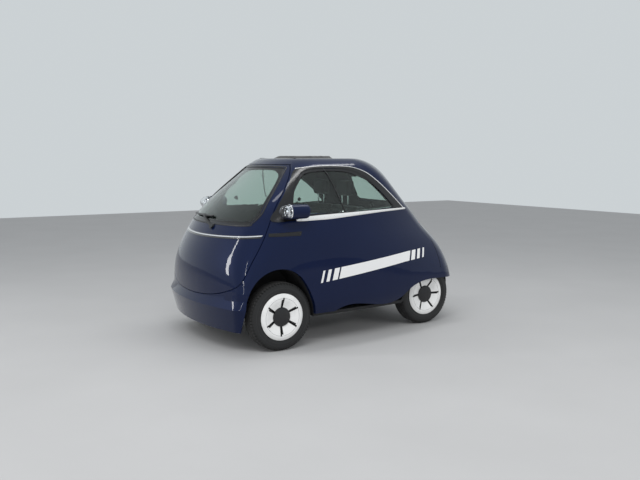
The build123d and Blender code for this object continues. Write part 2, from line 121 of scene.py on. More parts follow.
class MICROCAR_PG_trim(bpy.types.PropertyGroup):
    """Sizes of the trim."""

    chrome_bead: length("Chrome bead", "Width of the bead over the side window", 0.0085)
    seal: length("Screen seal", "Width of the rubber seal round a screen", 0.012)
    screen_border: length("Screen border", "Width of the black print inside a screen", 0.030)
    stripe_height: length("Stripe height", "Height of the side band at its front end", 0.093)
    stripe_lean: length("Stripe lean", "How far a bar's top lies behind its foot", 0.024)
    pitches: bpy.props.IntProperty(name="Tread pitches", description="Blocks round a tyre", default=64, min=24)
    groove: length("Tread groove", "Depth of the grooves round the tyre", 0.0065)


class MICROCAR_PG_seats(bpy.types.PropertyGroup):
    """Looks of the seats."""

    cloth_dark: colour("Cloth, dark", "Darker thread of the seat cloth", (0.024, 0.025, 0.028))
    cloth_light: colour("Cloth, light", "Lighter thread of the seat cloth", (0.058, 0.060, 0.066))
    pressure: number("Pressure", "How hard the pads are blown up", 4.0, min=0.0)
    stitch: length("Stitch", "Length of one stitch", 0.009)


# ---------------------------------------------------------------- shader maths
class Value:
    """A number inside a shader, written with ordinary signs."""

    def __init__(self, tree, socket):
        self.tree = tree
        self.socket = socket

    def apply(self, operation, *others, flip=False):
        node = self.tree.nodes.new("ShaderNodeMath")
        node.operation = operation
        items = (*others, self) if flip else (self, *others)
        for slot, item in zip(node.inputs, items):
            if isinstance(item, Value):
                self.tree.links.new(item.socket, slot)
            else:
                slot.default_value = item
        return Value(self.tree, node.outputs[0])

    def __add__(self, other):
        return self.apply("ADD", other)

    __radd__ = __add__

    def __sub__(self, other):
        return self.apply("SUBTRACT", other)

    def __rsub__(self, other):
        return self.apply("SUBTRACT", other, flip=True)

    def __mul__(self, other):
        return self.apply("MULTIPLY", other)

    __rmul__ = __mul__

    def __lt__(self, other):
        return self.apply("LESS_THAN", other)

    def __pow__(self, other):
        return self.apply("POWER", other)

    def __abs__(self):
        return self.apply("ABSOLUTE")

    def sine(self):
        return self.apply("SINE")

    def clamped(self):
        out = self.apply("ADD", 0.0)
        out.socket.node.use_clamp = True
        return out


class Shader:
    """A material under construction: one Principled shader and its textures."""

    def __init__(self, name, colour, rough=0.5, metal=0.0):
        self.material = bpy.data.materials.new(name)
        self.material.use_nodes = True
        self.tree = self.material.node_tree
        self.base = self.tree.nodes["Principled BSDF"]
        self.set("Base Color", (*colour, 1.0))
        self.set("Roughness", rough)
        self.set("Metallic", metal)
        self.material.diffuse_color = (*colour, 1.0)
        self.coords = self.node("TexCoord").outputs["Object"]

    def set(self, name, value):
        self.base.inputs[name].default_value = value

    def link(self, source, target):
        self.tree.links.new(source.socket if isinstance(source, Value) else source, target)

    def node(self, kind, settings=None, **sockets):
        """A node of a kind, its settings first and then its sockets' values or links."""
        node = self.tree.nodes.new("ShaderNode" + kind)
        for key, value in (settings or {}).items():
            setattr(node, key, value)
        for key, value in sockets.items():
            target = node.inputs[key]
            if isinstance(value, (Value, bpy.types.NodeSocket)):
                self.link(value, target)
            else:
                target.default_value = value
        return node

    def axis(self, letter):
        return Value(self.tree, self.node("SeparateXYZ", Vector=self.coords).outputs[letter])

    def noise(self, scale, detail=2.0, stretch=(1, 1, 1)):
        place = self.node("Mapping", Scale=stretch, Vector=self.coords).outputs[0]
        return Value(self.tree, self.node("TexNoise", Scale=scale, Detail=detail, Vector=place).outputs["Fac"])

    def cells(self, scale):
        return Value(self.tree, self.node("TexVoronoi", Scale=scale, Vector=self.coords).outputs["Color"])

    def mixed(self, fac, first, second):
        node = self.node("Mix", {"data_type": "RGBA"})
        self.link(fac, node.inputs[0])
        for slot, colour in ((node.inputs[6], first), (node.inputs[7], second)):
            if isinstance(colour, bpy.types.NodeSocket):
                self.link(colour, slot)
            else:
                slot.default_value = (*colour, 1.0)
        return node.outputs[2]

    def colour(self, socket):
        self.link(socket, self.base.inputs["Base Color"])

    def rough(self, value):
        self.link(value, self.base.inputs["Roughness"])

    def bump(self, value, strength, distance=0.001):
        node = self.node("Bump", Strength=strength, Distance=distance, Height=value)
        self.link(node.outputs[0], self.base.inputs["Normal"])


# ---------------------------------------------------------------- materials
def paint(look):
    """Deep metallic paint: fine flakes, a soft cloud and a clear coat."""
    s = Shader("paint", look.dark, 0.38, 0.25)
    cloud = s.noise(3.0, 3.0)
    s.colour(s.mixed((s.cells(2600.0) * 0.7 + cloud * 0.3).clamped(), tuple(look.dark), tuple(look.light)))
    s.rough(cloud * 0.06 + 0.35)
    s.set("Coat Weight", 1.0)
    s.set("Coat Roughness", 0.02)
    s.set("Coat IOR", 1.30)
    s.set("Specular IOR Level", 0.05)
    return s.material


def clear(name, colour, ior, mottle):
    s = Shader(name, colour, 0.0)
    s.set("Transmission Weight", 1.0)
    s.set("IOR", ior)
    s.rough(s.noise(14.0, 2.0) * mottle)
    return s.material


def shiny(name, colour, low, spread, metal=1.0):
    s = Shader(name, colour, low, metal)
    s.rough(s.noise(90.0, 3.0) * spread + low)
    return s.material


def cover_white(name, colour, end):
    """White wheel cover with a black middle and a thin moulded ring round its hub."""
    low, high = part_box(f"wheel_cover_{end}_left")
    hub, radius = (low + high) / 2, (high.z - low.z) / 2
    s = Shader(name, colour, 0.36)
    dy, dz = s.axis("Y") - hub.y, s.axis("Z") - hub.z
    out = (dy * dy + dz * dz) ** 0.5
    dirt = s.noise(22.0, 4.0)
    clean = s.mixed((dirt ** 3.0 * 1.4).clamped(), tuple(colour), tuple(c * 0.75 for c in colour))
    # painted shade: a thin grey line stands in for the shade in a moulded ring's groove
    painted_shade_lines = s.mixed(abs(out - radius * 0.80) < 0.0011, clean, (0.30, 0.30, 0.31))
    turn = s.node("Math", {"operation": "ARCTAN2"})
    s.link(dy, turn.inputs[0])
    s.link(dz, turn.inputs[1])
    phase = 0.0 if end == "front" else math.pi / 2
    aside = abs((Value(s.tree, turn.outputs[0]) * 3.0 + phase).sine()) * out
    # painted shade: black bands, wider and longer than the cut slots, stand in for the shade seen inside them
    slot = (aside < radius * 0.110) * (out < radius * 0.745)
    painted_shade_lines = s.mixed(slot, painted_shade_lines, (0.014, 0.014, 0.015))
    s.colour(s.mixed(out < radius * 0.41, painted_shade_lines, (0.012, 0.012, 0.013)))
    s.rough(dirt * 0.2 + 0.28)
    s.bump(s.noise(900.0, 1.0), 0.05, 0.0003)
    s.set("Coat Weight", 0.3)
    s.set("Coat Roughness", 0.2)
    return s.material


def rubber(name, end):
    """Tyre rubber: dark walls with a fine moulded ring, dusty paler tread."""
    low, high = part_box(f"tyre_{end}_left")
    hub, radius = (low + high) / 2, (high.z - low.z) / 2
    s = Shader(name, (0.010, 0.010, 0.0105), 0.6)
    dy, dz = s.axis("Y") - hub.y, s.axis("Z") - hub.z
    out = (dy * dy + dz * dz) ** 0.5
    tread = ((out - radius * 0.915) * 60.0).clamped()
    # painted shade: darkest in the tread's grooves and slots and over the shoulder below the crown
    groove = (out < radius * 0.975) * tread
    dust = s.noise(40.0, 5.0)
    wall = s.mixed(dust, (0.008, 0.008, 0.0085), (0.016, 0.016, 0.0165))
    # painted highlight: the moulded ring is drawn paler than the rubber round it
    ring = s.mixed(abs(out - radius * 0.84) < 0.0012, wall, (0.030, 0.030, 0.031))
    blocks = s.mixed(dust, (0.026, 0.026, 0.0265), (0.048, 0.047, 0.046))
    s.colour(s.mixed(groove, s.mixed(tread, ring, blocks), (0.006, 0.006, 0.006)))
    s.rough(tread * 0.2 + dust * 0.15 + 0.45)
    s.bump(s.noise(800.0, 2.0), 0.2, 0.0006)
    return s.material


def grained(name, colour, rough, scale=700.0, strength=0.25, wear=1.5):
    s = Shader(name, colour, rough)
    lighter = tuple(min(0.9, c * wear + 0.003) for c in colour)
    s.colour(s.mixed(s.noise(18.0, 5.0), tuple(colour), lighter))
    s.rough(s.noise(35.0, 4.0) * 0.22 + (rough - 0.11))
    s.bump(s.noise(scale, 2.0), strength, 0.0006)
    return s.material


def woven(name, dark, light, threads):
    s = Shader(name, dark, 0.9)
    warp = (s.axis("X") * threads).sine()
    weft = (s.axis("Y") * threads + s.axis("Z") * threads).sine()
    weave = (warp * weft * 0.5 + 0.5).clamped()
    blend = (weave * 0.55 + s.noise(14.0, 5.0) * 0.45).clamped()
    s.colour(s.mixed(blend, tuple(dark), tuple(light)))
    s.rough(s.noise(30.0, 3.0) * 0.15 + 0.8)
    s.bump(weave + s.noise(300.0, 2.0) * 0.5, 0.35, 0.0008)
    s.set("Sheen Weight", 0.25)
    s.set("Sheen Roughness", 0.5)
    return s.material


def brushed(name, colour, rough):
    s = Shader(name, colour, rough, 1.0)
    streak = s.noise(60.0, 3.0, (1, 1, 14))
    s.rough(streak * 0.25 + (rough - 0.12))
    s.bump(streak, 0.08, 0.0004)
    return s.material


def light_bar():
    """Black bar with one thin pale light line along its middle."""
    s = Shader("light_bar", (0.01, 0.01, 0.011), 0.15)
    middle = (s.axis("Y") + 1.4) * 0.0975 + 0.8475
    line = abs(s.axis("Z") - middle) < 0.0036
    s.colour(s.mixed(line, (0.010, 0.010, 0.011), (0.55, 0.57, 0.60)))
    s.rough(s.noise(60.0, 2.0) * 0.1 + 0.12)
    s.set("Coat Weight", 1.0)
    s.set("Coat Roughness", 0.05)
    return s.material


def tail_light():
    s = Shader("tail_light", (0.30, 0.006, 0.008), 0.2)
    ribs = (s.axis("X") * 900.0).sine() * 0.5 + 0.5
    s.colour(s.mixed(ribs, (0.24, 0.004, 0.006), (0.42, 0.010, 0.012)))
    s.rough(s.noise(50.0, 2.0) * 0.1 + 0.15)
    s.bump(ribs, 0.3, 0.0008)
    s.set("Coat Weight", 1.0)
    s.set("Coat Roughness", 0.05)
    return s.material


def floor_finish():
    s = Shader("floor", (0.50, 0.50, 0.50), 0.8)
    s.colour(s.mixed(s.noise(1.2, 4.0), (0.46, 0.46, 0.46), (0.51, 0.51, 0.51)))
    s.bump(s.noise(160.0, 3.0), 0.06, 0.001)
    return s.material


def make_materials(look, seats):
    book = MATERIALS
    book["paint"] = paint(look)
    book["glass"] = clear("glass", tuple(look.glass), 1.45, 0.02)
    book["lamp_glass"] = clear("lamp_glass", (0.97, 0.98, 0.99), 1.3, 0.03)
    book["chrome"] = shiny("chrome", (0.82, 0.83, 0.85), 0.05, 0.10)
    book["satin_chrome"] = shiny("satin_chrome", (0.93, 0.93, 0.92), 0.24, 0.10, 0.6)
    book["mirror"] = shiny("mirror", (0.86, 0.88, 0.90), 0.01, 0.02)
    book["cover_front"] = cover_white("cover_front", tuple(look.cover), "front")
    book["cover_rear"] = cover_white("cover_rear", tuple(look.cover), "rear")
    book["tyre_front"] = rubber("tyre_front", "front")
    book["tyre_rear"] = rubber("tyre_rear", "rear")
    book["black_trim"] = grained("black_trim", (0.009, 0.009, 0.010), 0.38, 900.0, 0.08)
    book["gloss_black"] = grained("gloss_black", (0.005, 0.005, 0.006), 0.17, 500.0, 0.01)
    book["underbody"] = grained("underbody", (0.012, 0.012, 0.013), 0.75, 260.0, 0.5)
    book["interior"] = grained("interior", (0.022, 0.023, 0.026), 0.6, 600.0, 0.4)
    book["dark_metal"] = grained("dark_metal", (0.020, 0.020, 0.022), 0.42, 500.0, 0.2)
    book["rim"] = grained("rim", (0.012, 0.012, 0.013), 0.45, 500.0, 0.15)
    book["seat_cover"] = woven("seat_cover", seats.cloth_dark, seats.cloth_light, 900.0)
    book["seat_piping"] = grained("seat_piping", (0.014, 0.014, 0.015), 0.55, 900.0, 0.3)
    book["seat_thread"] = grained("seat_thread", (0.10, 0.10, 0.105), 0.7, 2500.0, 0.3)
    book["roof_fabric"] = woven("roof_fabric", (0.010, 0.010, 0.011), (0.030, 0.030, 0.032), 1300.0)
    book["belt_webbing"] = woven("belt_webbing", (0.012, 0.012, 0.013), (0.026, 0.026, 0.028), 2200.0)
    book["motor_case"] = brushed("motor_case", (0.42, 0.43, 0.44), 0.35)
    book["light_bar"] = light_bar()
    book["tail_light"] = tail_light()
    book["decal_white"] = grained("decal_white", tuple(look.stripe), 0.4, 900.0, 0.03, 1.03)
    book["floor"] = floor_finish()


def finish_nodes():
    """Gives each packed piece its own material; the inside of a painted panel is dark trim."""
    middle = Vector((0.0, 0.0, 0.75))
    for item in frame["record"]["subparts"]:
        name, slot = item["node"], item["material_slot"]
        obj = frame["nodes"][name]
        if slot in ("cover_white", "tyre"):
            slot = slot.split("_")[0] + ("_front" if "front" in name else "_rear")
        obj.data.materials.clear()
        obj.data.materials.append(MATERIALS[slot])
        if slot == "paint" and "pod" not in name:
            obj.data.materials.append(MATERIALS["interior"])
            for face in obj.data.polygons:
                away = face.center - middle
                away.y *= 0.5
                face.material_index = 1 if face.normal.dot(away.normalized()) < -0.2 else 0
        if slot in ("paint", "glass"):
            soften(obj)


def soften(obj):
    """Joins the mesh's loose faces so that a wide skin shades as one surface."""
    weld = obj.modifiers.new("weld", "WELD")
    weld.merge_threshold = 0.00003
    split = obj.modifiers.new("split", "EDGE_SPLIT")
    split.split_angle = math.radians(24)
    normals = obj.modifiers.new("normals", "WEIGHTED_NORMAL")
    normals.weight = 100
    normals.keep_sharp = True


# ---------------------------------------------------------------- mesh helpers
def add_mesh(name, points, faces, material, body="body", crease=40.0, slot=None):
    """A new piece that rides on a body, smooth except over the crease angle in degrees."""
    mesh = bpy.data.meshes.new(name)
    mesh.from_pydata([tuple(p) for p in points], [], faces)
    bm = bmesh.new()
    bm.from_mesh(mesh)
    bmesh.ops.remove_doubles(bm, verts=bm.verts, dist=0.00001)
    bmesh.ops.recalc_face_normals(bm, faces=bm.faces)
    bm.to_mesh(mesh)
    bm.free()
    return add_piece(name, mesh, material, body, crease)


def add_piece(name, mesh, material, body="body", crease=40.0):
    mesh.shade_smooth()
    mesh.set_sharp_from_angle(angle=math.radians(crease))
    mesh.materials.clear()
    mesh.materials.append(MATERIALS[material])
    obj = bpy.data.objects.new(name, mesh)
    bpy.context.scene.collection.objects.link(obj)
    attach(obj, body)
    return obj


def grid_faces(rows, columns, round_rows=False, round_columns=False):
    faces = []
    for i in range(rows if round_rows else rows - 1):
        for j in range(columns if round_columns else columns - 1):
            k, m = (i + 1) % rows, (j + 1) % columns
            faces.append((i * columns + j, i * columns + m, k * columns + m, k * columns + j))
    return faces


def mirrored(points):
    return [Vector((-p.x, p.y, p.z)) for p in points]


def both_sides(name, points, faces, material, crease=40.0, slot=None):
    """One piece on each side of the car, from the left one's points."""
    add_mesh(name + "_left", points, faces, material, "body", crease, slot)
    add_mesh(name + "_right", mirrored(points), faces, material, "body", crease, slot)


def merged(parts):
    """Several (points, faces) as one."""
    points, faces = [], []
    for some, quads in parts:
        start = len(points)
        points += some
        faces += [tuple(start + i for i in quad) for quad in quads]
    return points, faces


def smooth_line(points, count, closed=False):
    """Even steps along a soft curve through a few points."""
    pts = [Vector(p).to_3d() if len(p) == 2 else Vector(p) for p in points]
    n = len(pts)
    fine = []
    for i in range(n if closed else n - 1):
        a = pts[i - 1] if closed or i else pts[0] * 2 - pts[1]
        b, c = pts[i], pts[(i + 1) % n]
        d = pts[(i + 2) % n] if closed or i + 2 < n else pts[-1] * 2 - pts[-2]
        for k in range(16):
            t = k / 16
            fine.append(0.5 * (2 * b + (c - a) * t + (2 * a - 5 * b + 4 * c - d) * t * t
                               + (3 * b - a - 3 * c + d) * t ** 3))
    fine.append(pts[0] if closed else pts[-1])
    return even_steps(fine, count, closed)


def even_steps(fine, count, closed=False):
    lengths = [0.0]
    for a, b in zip(fine, fine[1:]):
        lengths.append(lengths[-1] + (b - a).length)
    steps = count if closed else count - 1
    out, k = [], 0
    for i in range(count):
        goal = lengths[-1] * i / steps
        while k < len(fine) - 2 and lengths[k + 1] < goal:
            k += 1
        span = max(lengths[k + 1] - lengths[k], 1e-9)
        out.append(fine[k].lerp(fine[k + 1], min(1.0, (goal - lengths[k]) / span)))
    return out


class Skin:
    """The outer faces of some pieces, seen from one side, to lay trim on."""

    VIEWS = {"side": (0, 1.5, 1.3), "nose": (1, -2.0, 2.2), "tail": (1, 2.0, 2.0), "top": (2, 2.5, 2.2)}

    def __init__(self, view, *names):
        points, faces = [], []
        for name in names:
            mesh = bpy.data.objects[name].data if name not in frame["nodes"] else frame["nodes"][name].data
            start = len(points)
            points += [v.co.copy() for v in mesh.vertices]
            faces += [[start + i for i in p.vertices] for p in mesh.polygons]
        self.tree = BVHTree.FromPolygons(points, faces)
        self.depth, self.start, self.reach = self.VIEWS[view]

    def at(self, a, b, depth):
        place = [a, b]
        place.insert(self.depth, depth)
        return Vector(place)

    def touch(self, a, b):
        """Place and outward normal where the two other coordinates are a and b, or None."""
        way = self.at(0, 0, -math.copysign(1, self.start))
        place, normal, _, _ = self.tree.ray_cast(self.at(a, b, self.start), way, self.reach)
        return place and (place, normal)

    def outermost(self, a, b, spread):
        """Like touch, but as high as the highest place within the spread, to bridge steps."""
        if not spread:
            return self.touch(a, b)
        ring = [(0, 0)] + [(math.cos(k * math.pi / 4), math.sin(k * math.pi / 4)) for k in range(8)]
        hits = [hit for hit in (self.touch(a + u * spread, b + v * spread) for u, v in ring) if hit]
        sign = math.copysign(1, self.start)
        return max(hits, key=lambda hit: hit[0][self.depth] * sign, default=None)

    def lay(self, line, lift=PROUD, spread=0.0):
        """A line's points on the skin, lifted off it, and their normals; misses follow the nearest hit."""
        hits = [self.outermost(p.x, p.y, spread) for p in line]
        found = [i for i, hit in enumerate(hits) if hit]
        places, normals = [], []
        for i, p in enumerate(line):
            place, normal = hits[min(found, key=lambda k: abs(k - i))]
            places.append(self.at(p.x, p.y, place[self.depth]) + normal * lift)
            normals.append(normal)
        return places, normals

    def band(self, first, second, rows, lift, spread=0.0):
        """A strip between two lines of equal count, laid row by row; lift(t) is its height."""
        points = []
        for k in range(rows):
            t = k / (rows - 1)
            points += self.lay([a.lerp(b, t) for a, b in zip(first, second)], lift(t), spread)[0]
        return points


def evened(normals, reach=3, closed=False):
    """Normals averaged with their neighbours, so that a swept trim doesn't twist."""
    out, n = [], len(normals)
    for i in range(n):
        near = [(i + d) % n if closed else min(max(i + d, 0), n - 1) for d in range(-reach, reach + 1)]
        out.append(sum((normals[k] for k in near), Vector()).normalized())
    return out


def sweep(path, normals, section, closed=False):
    """A section of (across, up) pairs carried along a path; returns points and faces."""
    points = []
    n = len(path)
    for i, (p, up) in enumerate(zip(path, normals)):
        ahead = path[(i + 1) % n] if closed or i + 1 < n else p
        behind = path[i - 1] if closed or i else p
        run = (ahead - behind).normalized()
        across = run.cross(up).normalized()
        points += [p + across * a + up * b for a, b in section]
    faces = grid_faces(n, len(section), closed, True)
    if not closed:
        faces.append(tuple(range(len(section))))
        faces.append(tuple(reversed(range((n - 1) * len(section), n * len(section)))))
    return points, faces


def half_round(width, height, steps=8):
    """Bead section, flat below."""
    return [(width / 2 * math.cos(math.pi * k / steps), height * math.sin(math.pi * k / steps))
            for k in range(steps + 1)]


def turned(profile, centre, axis, steps):
    """Profile of (radius, along axis) turned about an axis, 'X' or 'Y'; radius 0 makes a pole."""
    points = []
    for k in range(steps):
        a = 2 * math.pi * k / steps
        for r, t in profile:
            u, v = r * math.cos(a), r * math.sin(a)
            points.append(centre + (Vector((t, u, v)) if axis == "X" else Vector((u, t, v))))
    return points, grid_faces(steps, len(profile), True)


# ---------------------------------------------------------------- geometry nodes
class Recipe:
    """A Geometry Nodes tree with named inputs, run once on a mesh and turned into a plain one."""

    def __init__(self, name, **inputs):
        self.tree = bpy.data.node_groups.new(name, "GeometryNodeTree")
        face = self.tree.interface
        face.new_socket("Geometry", in_out="INPUT", socket_type="NodeSocketGeometry")
        face.new_socket("Geometry", in_out="OUTPUT", socket_type="NodeSocketGeometry")
        self.keys = {}
        for label, kind in (*inputs.items(), ("Material", "Material")):
            socket = face.new_socket(label, in_out="INPUT", socket_type="NodeSocket" + kind)
            self.keys[label] = socket.identifier
        self.source = self.tree.nodes.new("NodeGroupInput")

    def node(self, kind, settings=None, **sockets):
        """A node of a kind, its settings first and then its sockets' values or links, by name or number."""
        node = self.tree.nodes.new(kind)
        for key, value in (settings or {}).items():
            setattr(node, key, value)
        for key, value in sockets.items():
            name = key.replace("_", " ")
            target = next(s for s in node.inputs if s.name == name and s.enabled)
            if isinstance(value, bpy.types.NodeSocket):
                self.tree.links.new(value, target)
            else:
                target.default_value = value
        return next(s for s in node.outputs if s.enabled)

    def given(self, label):
        return self.source.outputs[label]

    def finish(self, geometry):
        whole = self.node("GeometryNodeRealizeInstances", Geometry=geometry)
        whole = self.node("GeometryNodeMergeByDistance", Geometry=whole, Distance=0.00002)
        out = self.node("GeometryNodeSetMaterial", Geometry=whole, Material=self.given("Material"))
        end = self.tree.nodes.new("NodeGroupOutput")
        self.tree.links.new(out, end.inputs[0])

    def made(self, mesh, material, **values):
        """The plain mesh that the tree makes from a mesh."""
        obj = bpy.data.objects.new("recipe", mesh)
        bpy.context.scene.collection.objects.link(obj)
        modifier = obj.modifiers.new("recipe", "NODES")
        modifier.node_group = self.tree
        modifier[self.keys["Material"]] = MATERIALS[material]
        for label, value in values.items():
            modifier[self.keys[label.replace("_", " ")]] = value
        graph = bpy.context.evaluated_depsgraph_get()
        out = bpy.data.meshes.new_from_object(obj.evaluated_get(graph))
        bpy.data.objects.remove(obj)
        return out


def round_cord_recipe():
    """A round bead along each line of a mesh."""
    r = Recipe("bead_along_line", Radius="Float")
    curve = r.node("GeometryNodeMeshToCurve", Mesh=r.given("Geometry"))
    ring = r.node("GeometryNodeCurvePrimitiveCircle", Radius=r.given("Radius"), Resolution=10)
    r.finish(r.node("GeometryNodeCurveToMesh", {}, Curve=curve, Profile_Curve=ring, Fill_Caps=True))
    return r


def stitch_recipe():
    """Short threads along each line of a mesh, with gaps between them."""
    r = Recipe("stitches_along_line", Length="Float", Radius="Float")
    curve = r.node("GeometryNodeMeshToCurve", Mesh=r.given("Geometry"))
    step = r.node("ShaderNodeMath", {"operation": "MULTIPLY"})
    r.tree.links.new(r.given("Length"), step.node.inputs[0])
    step.node.inputs[1].default_value = 1.5
    spots = r.node("GeometryNodeCurveToPoints", {"mode": "LENGTH"}, Curve=curve, Length=step)
    turn = spots.node.outputs["Rotation"]
    thread = r.node("GeometryNodeMeshCylinder", {}, Vertices=6, Radius=r.given("Radius"),
                    Depth=r.given("Length"))
    r.finish(r.node("GeometryNodeInstanceOnPoints", {}, Points=spots, Instance=thread, Rotation=turn))
    return r


def ring_recipe():
    """Copies of one wedge of a wheel, set side by side about the X axis."""
    r = Recipe("wedges_round_hub", Count="Int")
    spots = r.node("GeometryNodePoints", {}, Count=r.given("Count"))
    index = r.node("GeometryNodeInputIndex")
    part = r.node("ShaderNodeMath", {"operation": "DIVIDE"})
    r.tree.links.new(index, part.node.inputs[0])
    r.tree.links.new(r.given("Count"), part.node.inputs[1])
    angle = r.node("ShaderNodeMath", {"operation": "MULTIPLY"})
    r.tree.links.new(part, angle.node.inputs[0])
    angle.node.inputs[1].default_value = math.tau
    turn = r.node("ShaderNodeCombineXYZ", {}, X=angle)
    r.finish(r.node("GeometryNodeInstanceOnPoints", {}, Points=spots, Instance=r.given("Geometry"),
                    Rotation=turn))
    return r


def line_mesh(name, lines):
    """A mesh of bare edges along some open lines of points."""
    points, edges = [], []
    for line in lines:
        start = len(points)
        points += [tuple(p) for p in line]
        edges += [(i, i + 1) for i in range(start, len(points) - 1)]
    mesh = bpy.data.meshes.new(name)
    mesh.from_pydata(points, edges, [])
    return mesh


# ---------------------------------------------------------------- tyres and wheels
SIDEWALL = [(0.1665, 0.0525), (0.1770, 0.0560), (0.1840, 0.0610), (0.1930, 0.0660), (0.2050, 0.0700),
            (0.2080, 0.0712), (0.2150, 0.0722), (0.2170, 0.0716), (0.2280, 0.0712), (0.2400, 0.0690)]
SHOULDER = [(0.2480, 0.0660), (0.2550, 0.0620), (0.2600, 0.0570), (0.2630, 0.0505), (0.2646, 0.0430)]
CROWN = 0.2646
SLOT_SPOTS = (0.0, 0.02, 0.25, 0.27, 0.60, 0.612, 0.656, 0.668, 1.0)
SLOT_COLUMNS = (1, 2)
SIPE_COLUMNS = (5, 6)


def tread_rows(groove):
    """Rows across the tyre: (radius, across, slot depth, sipe depth, skew)."""
    rows = [(r, t, 0.0, 0.0, 0.0) for r, t in SIDEWALL]
    rows += [(r, t, 0.0070 if k else 0.0025, 0.0, 0.02 * k) for k, (r, t) in enumerate(SHOULDER)]
    rows += [(CROWN - groove, t, 0.0, 0.0, 0.1) for t in (0.0425, 0.0390)]
    rows += [(0.2658 - (t - 0.019) * 0.05, t, 0.0045, 0.0035, skew)
             for t, skew in ((0.0385, 0.12), (0.0290, 0.45), (0.0190, 0.80))]
    rows += [(CROWN - groove, t, 0.0, 0.0, 0.8) for t in (0.0184, 0.0140)]
    rows += [(0.2664, t, 0.0, 0.0035, skew) for t, skew in ((0.0135, 0.85), (0.0050, 1.05))]
    return rows + [(r, -t, slot, sipe, 2.2 - skew) for r, t, slot, sipe, skew in reversed(rows)]


def tread_wedge(pitches, groove):
    """One pitch of the tyre, about the hub."""
    rows = tread_rows(groove)
    points = []
    for column, spot in enumerate(SLOT_SPOTS):
        for r, t, slot, sipe, skew in rows:
            depth = slot * (column in SLOT_COLUMNS) + sipe * (column in SIPE_COLUMNS)
            a = math.tau * (spot + skew) / pitches
            points.append((t, (r - depth) * math.cos(a), (r - depth) * math.sin(a)))
    mesh = bpy.data.meshes.new("tread_wedge")
    mesh.from_pydata(points, [], grid_faces(len(SLOT_SPOTS), len(rows)))
    mesh.flip_normals()
    return mesh


def build_tyres(look):
    recipe = ring_recipe()
    wedge = tread_wedge(look.pitches, look.groove)
    for end, side, sign in WHEELS:
        node = f"tyre_{end}_{side}"
        low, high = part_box(node)
        mesh = recipe.made(wedge, "tyre_" + end, Count=look.pitches)
        hub = (low + high) / 2
        for v in mesh.vertices:
            v.co += hub
        piece = add_piece(node + "_tread", mesh, "tyre_" + end, f"wheel_{end}_{side}", 32)
        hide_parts(node)


CAP = [(0.0742, 0.0), (0.0738, 0.0030), (0.0722, 0.0052), (0.0690, 0.0058), (0.0672, 0.0048),
       (0.0640, 0.0052), (0.0560, 0.0078), (0.0450, 0.0100), (0.0300, 0.0118), (0.0150, 0.0126), (0.0, 0.0128)]
CAP_SEAT = 0.0178       # how far the cap's rim lies behind the cover's face


def build_caps():
    """Domed black hub caps with six shallow flutes."""
    for end, side, sign in WHEELS:
        low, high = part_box(f"wheel_cover_{end}_{side}")
        hub = (low + high) / 2
        face = high.x if sign > 0 else -low.x
        points, faces = turned([(r, face - CAP_SEAT + t) for r, t in CAP], Vector((0.0, hub.y, hub.z)), "X", 96)
        for p in points:
            y, z = p.y - hub.y, p.z - hub.z
            r, a = math.hypot(y, z), math.atan2(z, y)
            if 0.02 < r < 0.062:
                p.x -= 0.0016 * max(0.0, math.cos(6 * a)) ** 4 * math.sin(math.pi * (r - 0.02) / 0.042)
        if sign < 0:
            points = mirrored(points)
        add_mesh(f"hub_cap_{end}_{side}", points, faces, "black_trim", f"wheel_{end}_{side}", 50)


# ---------------------------------------------------------------- outer trim
def build_window_trim(trim):
    skin = Skin("side", "side_panel_left", "roof_panel", "side_glass_left", "door_panel")
    path, ups = skin.lay(smooth_line(CHROME_ARC, 110), 0.0002)
    section = half_round(trim.chrome_bead, trim.chrome_bead / 2)
    both_sides("window_chrome", *sweep(path, evened(ups), section), "satin_chrome", slot="mirror")

    first, second = smooth_line(BELT_TOP, 90), smooth_line(BELT_LOW, 90)
    points = skin.band(first, second, 9, lambda t: 0.0006 + 0.0048 * math.sin(math.pi * t) ** 0.5)
    both_sides("belt_chrome", points, grid_faces(9, 90), "satin_chrome", 70, "mirror")

    first, second = smooth_line(FRAME_OUTER, 220, True), smooth_line(GLASS_EDGE, 220, True)
    points = skin.band(first, matched(first, second), 22, lambda t: PROUD * (1.0 - 0.5 * t), 0.0042)
    both_sides("window_frame", points, grid_faces(22, 220, False, True), "gloss_black", slot="black_trim")

    path, ups = skin.lay(smooth_line(PANE_LINE, 24), 0.0004, 0.0050)
    both_sides("pane_seal", *sweep(path, evened(ups), half_round(0.008, 0.0025)), "black_trim")

    top, low = smooth_line(LAMP_STRIP[:2], 40), smooth_line(LAMP_STRIP[:1:-1], 40)
    points = skin.band(top, low, 12, lambda t: 0.0012 + 0.0022 * math.sin(math.pi * t) ** 0.5, 0.003)
    both_sides("lamp_strip", points, grid_faces(12, 40), "gloss_black", 60, "black_trim")


def build_stripes(trim):
    """The plain white side band: one long bar between shorter and shorter ones."""
    skin = Skin("side", "side_panel_left", "hatch_panel")
    parts = []
    for start, width in STRIPES:
        count = max(3, round(width / 0.008))
        low, high = [], []
        for k in range(count + 1):
            y = start + width * k / count
            low.append(Vector((y, 0.525 + 0.105 * (y + 0.283) - 0.035 * max(0.0, y - 0.45), 0)))
            high.append(Vector((y + trim.stripe_lean, low[-1].y + trim.stripe_height - 0.013 * (y + 0.283), 0)))
        parts.append((skin.band(low, high, 9, lambda t: 0.0006), grid_faces(9, count + 1)))
    both_sides("side_stripes", *merged(parts), "decal_white", slot="cover_white")


def matched(first, second):
    """Starts the second closed line where it lies nearest to the first one's start."""
    start = min(range(len(second)), key=lambda i: (second[i] - first[0]).length)
    return second[start:] + second[:start]


